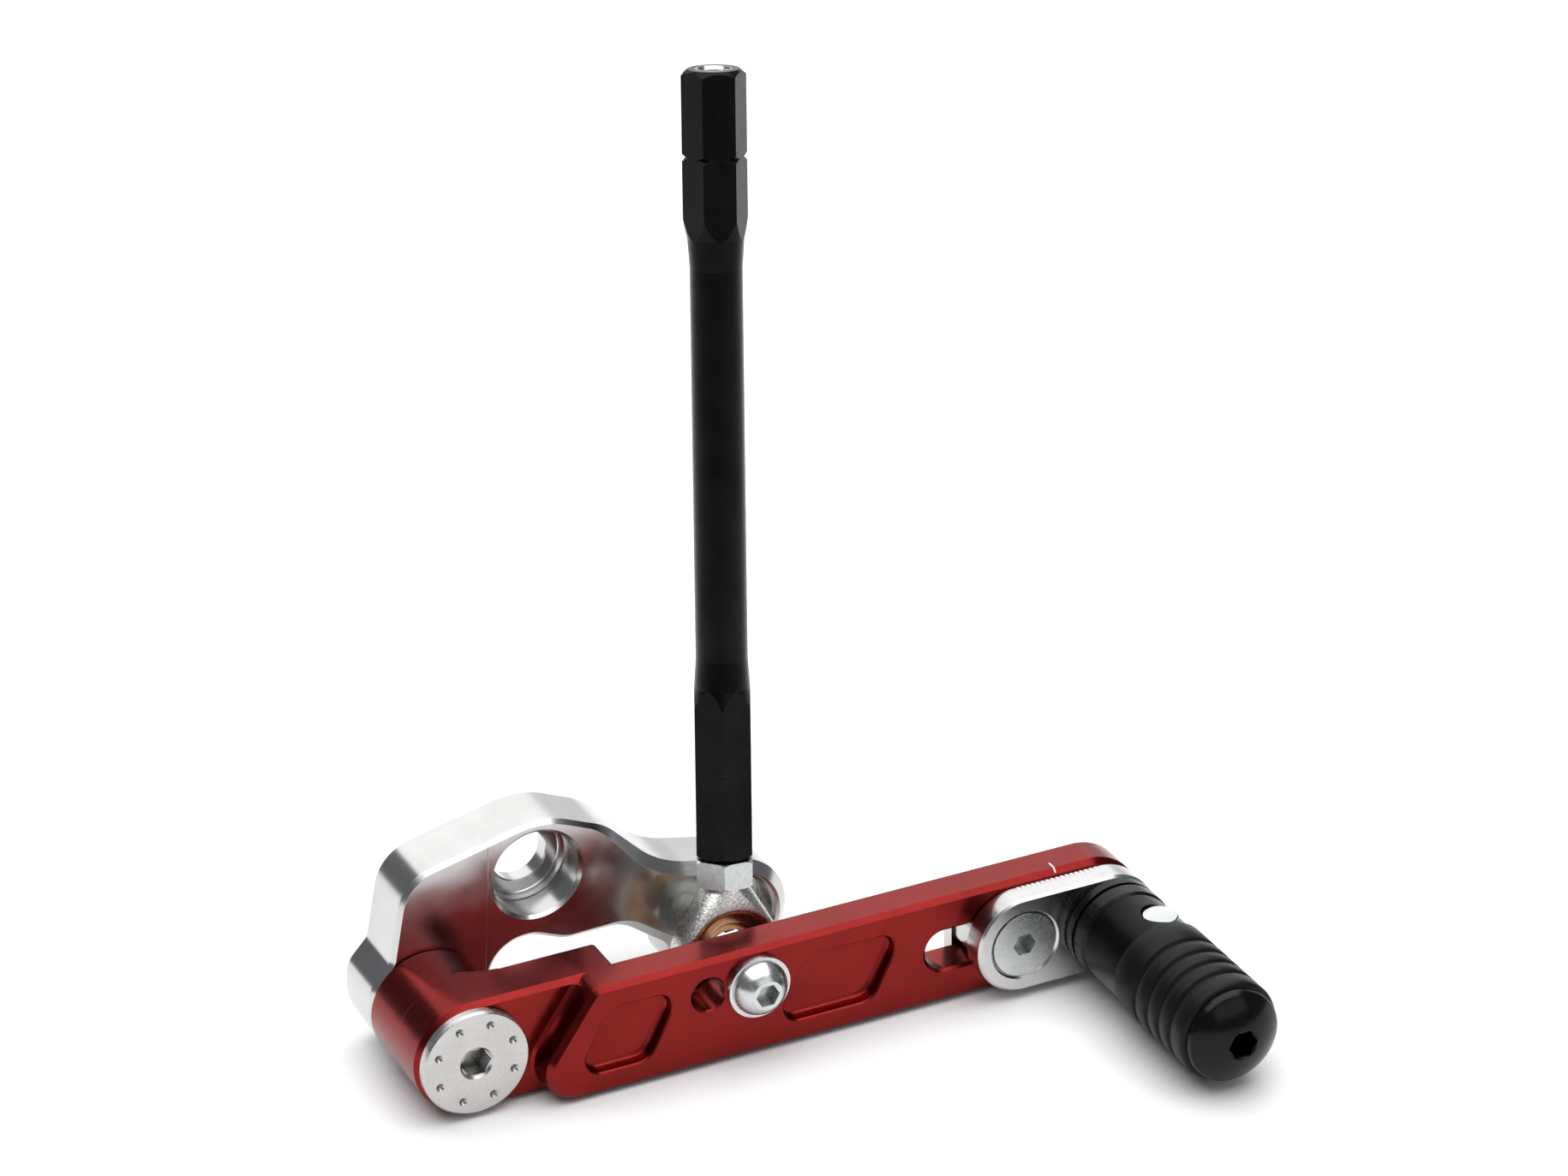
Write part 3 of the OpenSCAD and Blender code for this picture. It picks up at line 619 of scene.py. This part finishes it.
def shift_lever():
    """Blade, arm and hub in one, with a fillet where the blade meets the arm, a cove where the
    arm meets the hub, and the bore for the bearings. Each shape is a hair off its neighbours."""
    front, rear = ARM_FRONT, ARM_REAR
    arm = solid(arm_outline(), [(-1.0, front), (0, front + 1.0), (0, rear - 0.3), (-0.3, rear)])
    hub = solid(circle(PIVOT, HALF_H - 0.04, 160),
                [(0, front + 2), (0, HUB_REAR - 0.4), (-0.4, HUB_REAR)])
    fillet = solid(rounded(BLADE_CORNERS, steps=20),
                   [(-0.1, front - 1.9), (0.02, front - 1.5), (0.15, front - 1.0), (0.5, front - 0.4),
                    (1.2, front + 0.03), (1.2, front + 0.6)])
    trim = solid(arm_outline(), [(-1.03, front - 3), (-1.03, front), (-0.03, front + 1.0),
                                 (-0.03, front + 2)])
    combine(fillet, [trim], "INTERSECT")
    cove_r, lift = 3.5, 0.03
    r = HALF_H - 0.06
    cove = [(r - 4, -1.0), (r + cove_r, -1.0), (r + cove_r, lift)]
    cove += [(r + cove_r - cove_r * sin(t), cove_r + lift - cove_r * cos(t))
             for t in (pi / 2 * i / 12 for i in range(1, 13))]
    cove = placed(turned(cove + [(r - 4, cove_r + lift)], 160), along_y(PIVOT, rear, 0.005))
    wide = solid(arm_outline(), [(-0.06, rear - 1.5), (-0.06, rear + cove_r + 1)])
    combine(cove, [wide], "INTERSECT")
    obj = combine(blade(), [arm, hub, cove], "UNION")
    seat_r, middle_r, seat_end, seat_start, past_hub = 8.0, 6.75, 5.6, 15.3, 22.0
    bore = placed(turned([(0, 0), (seat_r, 0), (seat_r, seat_end), (middle_r, seat_end),
                          (middle_r, seat_start), (seat_r, seat_start), (seat_r, past_hub),
                          (0, past_hub)]), along_y(PIVOT, front - 0.1, 0.012))
    combine(obj, [bore], "DIFFERENCE")
    combine(obj, [fillet], "UNION")
    shade(without_slivers(obj))
    finish_piece(obj, "shift_lever_body", "lever", "red_anodised", LOOK["red"], "shift_lever")


# ---- toe peg carriage ----

LINK_R, LINK_CHAMFER = 9.5, 0.45
SINK_MOUTH_R, SINK_TOP_R, LINK_HOLE_R, BASE_SINK_R = 6.75, 6.4, 3.2, 6.2
GRADUATIONS, GRADUATION_STEP, GRADUATION_WIDTH = 17, 1, 0.4
INDEX_WIDTH, INDEX_SHIFT, INDEX_ON_TOP, INDEX_ON_EDGE = 0.35, 0.2, 1.75, 0.75


def link_plate():
    plate = Plate()
    front, rear = mm("link_plate")[0].y, mm("link_plate")[1].y
    outline = stadium(CLAMP.x, PEG.x, CLAMP.y, LINK_R, steps=48)
    outer = plate.wall(outline, [(-LINK_CHAMFER, front), (0, front + LINK_CHAMFER),
                                 (0, rear - 0.2), (-0.2, rear)])
    sink = plate.tube(CLAMP, [(SINK_MOUTH_R + 0.2, front), (SINK_MOUTH_R, front + 0.2),
                              (SINK_TOP_R, front + 0.45), (LINK_HOLE_R, front + 3.6),
                              (LINK_HOLE_R, rear)])
    screw = plate.tube(PEG, [(LINK_HOLE_R, front), (LINK_HOLE_R, rear - 3), (BASE_SINK_R, rear)])
    plate.cap(outer[0], [sink[0], screw[0]])
    plate.cap(outer[1], [sink[1], screw[1]])
    obj = shade(placed(plate.mesh("link"), Matrix()))
    finish_piece(obj, "link_plate_body", "carriage", "bare_aluminium", LOOK["silver"], "link_plate")


def stripes(name, body, strips):
    """Thin white marks, as (centre x, width, near end, far end), with ends as (y, z), in mm."""
    thickness = 0.1
    bm = bmesh.new()
    for x, width, near, far in strips:
        corners = [bm.verts.new((cx * MM, y * MM, (z - sunk) * MM)) for sunk in (thickness, 0)
                   for cx, (y, z) in ((x - width / 2, near), (x + width / 2, near),
                                      (x + width / 2, far), (x - width / 2, far))]
        for face in ((3, 2, 1, 0), (4, 5, 6, 7), (0, 1, 5, 4), (1, 2, 6, 5), (2, 3, 7, 6), (3, 0, 4, 7)):
            bm.faces.new([corners[i] for i in face])
    data = bpy.data.meshes.new(name)
    bm.to_mesh(data)
    bm.free()
    finish_piece(placed(data, Matrix()), name, body, "bare_aluminium", LOOK["white"])


def graduations():
    """The scale along the link plate's top, and the line on the lever that it is read against."""
    middle = (CLAMP.x + PEG.x) / 2
    rear, top = mm("link_plate")[1].y, mm("link_plate")[1].z + 0.02
    first = middle - GRADUATION_STEP * (GRADUATIONS - 1) / 2
    stripes("graduations", "carriage",
            [(first + GRADUATION_STEP * i, GRADUATION_WIDTH, (rear - 1.35, top), (rear - 0.2, top))
             for i in range(GRADUATIONS)])
    x, y, z = middle + INDEX_SHIFT, BLADE_FRONT + 1.0, LEVER_TOP + 0.03
    stripes("index_mark", "lever",
            [(x, INDEX_WIDTH, (y, z), (y + INDEX_ON_TOP, z)),
             (x, INDEX_WIDTH, (y - INDEX_ON_EDGE, z - INDEX_ON_EDGE), (y - 0.01, z - 0.01))])


# ---- rod end ----

def on_rod():
    """Local Z along the rod and local Y along the ball's screw, from the ball's centre."""
    z = Vector(JOINTS["rod_adjust"]["axis"]).normalized()
    x = Vector(JOINTS["rod_tilt"]["axis"]).normalized()
    turn = Matrix((x, z.cross(x), z)).transposed().to_4x4()
    return Matrix.Translation(Vector(JOINTS["rod_tilt"]["pos_m"])) @ turn


# Half of the eye as (radius, y), and the neck as (radius, height), in the rod end's own place
EYE_PROFILE = [(8.9, 3.375), (9.4, 3.22), (9.8, 2.8), (9.98, 2.1)]
NECK_PROFILE = [(4.35, 11.2), (4.35, 12.6), (4.05, 12.9)]
NECK_FLATTENING = 0.85
RACE_BORE_R, EYE_HALF_W = 8.5, 3.35
STUD_R, STUD_TOP = 2.95, 36.0


def rod_end_housing():
    """The eye and the neck in one forging, bored for the race, with its stud."""
    bm = bmesh.new()
    turns = [tau * i / 72 for i in range(72)]
    for r, w in EYE_PROFILE + [(r, -w) for r, w in EYE_PROFILE]:
        for t in turns:
            bm.verts.new((r * cos(t) * MM, w * MM, r * sin(t) * MM))
    for r, h in NECK_PROFILE:
        for t in turns:
            bm.verts.new((r * cos(t) * MM, NECK_FLATTENING * r * sin(t) * MM, h * MM))
    bmesh.ops.convex_hull(bm, input=bm.verts)
    loose = [v for v in bm.verts if not v.link_faces]
    bmesh.ops.delete(bm, geom=loose, context="VERTS")
    bmesh.ops.dissolve_limit(bm, angle_limit=radians(0.5), verts=bm.verts, edges=bm.edges)
    data = bpy.data.meshes.new("housing")
    bm.to_mesh(data)
    bm.free()
    obj = placed(data, Matrix())
    mouth_r, mouth = RACE_BORE_R + 0.3, EYE_HALF_W - 0.3
    bore = placed(turned([(0, -5), (mouth_r, -5), (mouth_r, -EYE_HALF_W), (RACE_BORE_R, -mouth),
                          (RACE_BORE_R, mouth), (mouth_r, EYE_HALF_W), (mouth_r, 5), (0, 5)]),
                  Matrix.Rotation(-pi / 2, 4, "X"))
    combine(obj, [bore], "DIFFERENCE")
    stud = placed(turned([(0, 12.0), (STUD_R, 12.0), (STUD_R, STUD_TOP - 0.5), (2.5, STUD_TOP),
                          (0, STUD_TOP)], 48), Matrix())
    combine(obj, [stud], "UNION")
    obj.data.transform(on_rod())
    shade(obj, 32)
    finish_piece(obj, "rod_end_forging", "rod_end", "dark_steel", LOOK["forged"], "rod_end_housing")


def race_liner():
    """The bronze race: a spherical seat for the ball, and a rounded lip at each side."""
    seat, low, high = 6.4, 2.3, 3.27
    lip = [(8.48, high - 0.15), (8.35, high), (8.15, high), (8.05, high - 0.3), (7.95, high - 0.3),
           (7.85, high), (6.0, low)]
    profile = [(r, -y) for r, y in lip]
    arc = [(seat * cos(t), seat * sin(t)) for t in (-0.35 + 0.7 * i / 12 for i in range(13))]
    profile += arc + lip[::-1]
    obj = placed(turned(profile, 120), on_rod() @ Matrix.Rotation(-pi / 2, 4, "X"))
    shade(obj)
    finish_piece(obj, "bronze_race", "rod_end", "bronze", LOOK["bronze"], "race_liner")


def bore_thread():
    """The bare thread that shows in the open upper end of the rod, as rings 1 mm apart."""
    outer, root, crest, rings = 3.03, 2.93, 2.5, 12
    ball, axis = Vector(JOINTS["rod_tilt"]["pos_m"]), Vector(JOINTS["rod_adjust"]["axis"])
    top = max((v.co - ball).dot(axis) for v in NODES["link_rod"].data.vertices) / MM
    profile = [(outer, top - rings - 0.6), (outer, top - 0.1), (3.3, top - 0.05), (3.25, top + 0.02),
               (3.0, top + 0.02), (2.85, top - 0.25)]
    for ring in range(rings):
        profile += [(crest, top - 0.6 - ring), (root, top - 1.1 - ring)]
    obj = placed(turned(profile, 64), on_rod())
    shade(obj)
    finish_piece(obj, "bore_thread", "rod", "bare_aluminium", LOOK["silver"])


# ---- toe peg ----

GRIP_BORE_R = 7.02
GROOVES_FROM_END = (4.7, 8.8, 12.8, 17.2)
DOME_R, DOME_RISE, DOME_RIM, DOME_STEM_R, DOME_SOCKET = 8.85, 3.6, 1.8, 3.95, 5


def grip_sleeve():
    low, high = mm("grip_sleeve")
    front, rear, r = low.y, high.y, (high.x - low.x) / 2
    profile = [(GRIP_BORE_R, 0), (r - 0.9, 0), (r - 0.5, 0.1), (r - 0.15, 0.4), (r, 0.9)]
    half_groove = [(0, -0.75), (0.12, -0.6), (0.72, -0.42), (0.8, -0.3)]
    for g in GROOVES_FROM_END:
        profile += [(r - depth, g + side) for depth, side in half_groove]
        profile += [(r - depth, g - side) for depth, side in half_groove[::-1]]
    length = rear - front
    profile += [(r, length - 0.7), (r - 0.15, length - 0.3), (r - 0.5, length),
                (GRIP_BORE_R, length)]
    obj = placed(turned(profile, 128), along_y(PEG, front))
    shade(obj, 40)
    finish_piece(obj, "grip_rings", "tip", "grip_black", LOOK["grip"], "grip_sleeve")


def end_cap():
    """A domed cap with a rim, a stem into the tip and a hexagon socket."""
    low, high = mm("end_cap")
    r, rise, length = DOME_R, DOME_RISE, high.y - low.y
    big = (r * r + rise * rise) / (2 * rise)
    steps = 24
    top = [(big * sin(t), big - big * cos(t))
           for t in (asin(r / big) * i / steps for i in range(1, steps))]
    back = rise + DOME_RIM
    profile = [(0, 0), *top, (r - 0.12, rise - 0.1), (r, rise + 0.12), (r, back - 0.25),
               (r - 0.25, back), (DOME_STEM_R, back), (DOME_STEM_R, length), (0, length)]
    obj = placed(turned(profile, 128), along_y(PEG, low.y))
    socket = solid(circle(PEG, DOME_SOCKET / 2 / cos(pi / 6), 6), [(0, low.y - 1), (0, low.y + 5)])
    rim_cone = placed(turned([(0, -0.5), (3.6, -0.5), (2.7, 0.55), (0, 0.55)], 64), along_y(PEG, low.y))
    combine(obj, [socket, rim_cone], "DIFFERENCE")
    shade(without_slivers(obj), 35)
    finish_piece(obj, "dome_cap", "tip", "gloss_black", LOOK["gloss"], "end_cap")


# ---- floor and light ----

FLOOR_HALF, FLOOR_GAP = 6.0, 0.0002
WORLD_COLOUR, WORLD_STRENGTH = (0.9, 0.92, 1.0, 1), 0.17
# Name, place, target, size across and along, and watts
LIGHTS = (
    ("overhead", (0.05, 0.0, 1.4), (0.05, 0, 0), (2.2, 2.2), 38),
    ("behind", (0.45, 1.5, 1.0), (0.0, 0, 0.05), (2.1, 0.9), 8.3),
    ("side", (1.35, 1.6, 0.3), (0.0, 0, 0.0), (1.5, 0.7), 2.3),
    ("front", (0.5, -2.0, 1.2), (0.0, 0, 0), (2.4, 1.0), 7),
)


def add_floor():
    s = Shader("pale_floor", (0.93, 0.93, 0.93), 0.8, metallic=0.0)
    s.colours(s.noise(30, 2), (0.92, 0.92, 0.92), (0.94, 0.94, 0.94))
    mesh = bpy.data.meshes.new("floor")
    size, z = FLOOR_HALF, cad_box[0][2] - FLOOR_GAP
    mesh.from_pydata([(-size, -size, z), (size, -size, z), (size, size, z), (-size, size, z)],
                     [], [(0, 1, 2, 3)])
    mesh.materials.append(s.material)
    floor = bpy.data.objects.new("floor", mesh)
    bpy.context.scene.collection.objects.link(floor)


def add_light(name, place, target, size, watts):
    light = bpy.data.lights.new(name, "AREA")
    light.shape, light.size, light.size_y, light.energy = "RECTANGLE", size[0], size[1], watts
    obj = bpy.data.objects.new(name, light)
    obj.location = place
    obj.rotation_euler = (Vector(place) - Vector(target)).to_track_quat("Z", "Y").to_euler()
    bpy.context.scene.collection.objects.link(obj)


def add_studio():
    world = bpy.data.worlds.new("studio")
    world.use_nodes = True
    background = world.node_tree.nodes["Background"]
    background.inputs["Color"].default_value = WORLD_COLOUR
    background.inputs["Strength"].default_value = WORLD_STRENGTH
    bpy.context.scene.world = world
    for light in LIGHTS:
        add_light(*light)
    bpy.context.scene.view_settings.view_transform = "Standard"


for build in (bracket_plate, shift_lever, link_plate, graduations, rod_end_housing, race_liner,
              bore_thread, grip_sleeve, end_cap):
    build()
add_camera()
add_floor()
add_studio()
